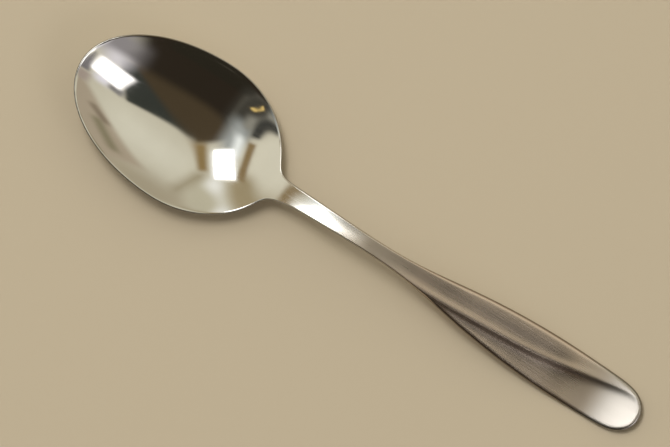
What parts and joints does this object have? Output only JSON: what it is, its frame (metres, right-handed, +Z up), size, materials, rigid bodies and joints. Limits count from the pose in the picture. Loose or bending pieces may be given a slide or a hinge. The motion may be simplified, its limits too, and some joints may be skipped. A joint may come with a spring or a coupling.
{
  "type": "tablespoon",
  "caption": "Stainless steel tablespoon with an egg-shaped mirror-polished bowl, a slim arched neck and a broad satin handle crossed by a swept crease.",
  "frame": {"origin": "middle of the spoon's outline box, on the table the spoon lies on", "axes": "+X along the spoon from the bowl's tip to the handle's end, +Y across it to the side where the crease ends, +Z up out of the bowl"},
  "size_m": [0.197, 0.046, 0.0175],
  "materials": {
    "polished_steel": "polished",
    "neck_steel": "gloss",
    "satin_steel": "satin"
  },
  "bodies": {
    "root": {"bowl": "polished_steel", "neck": "neck_steel", "handle": "satin_steel"}
  },
  "joints": []
}
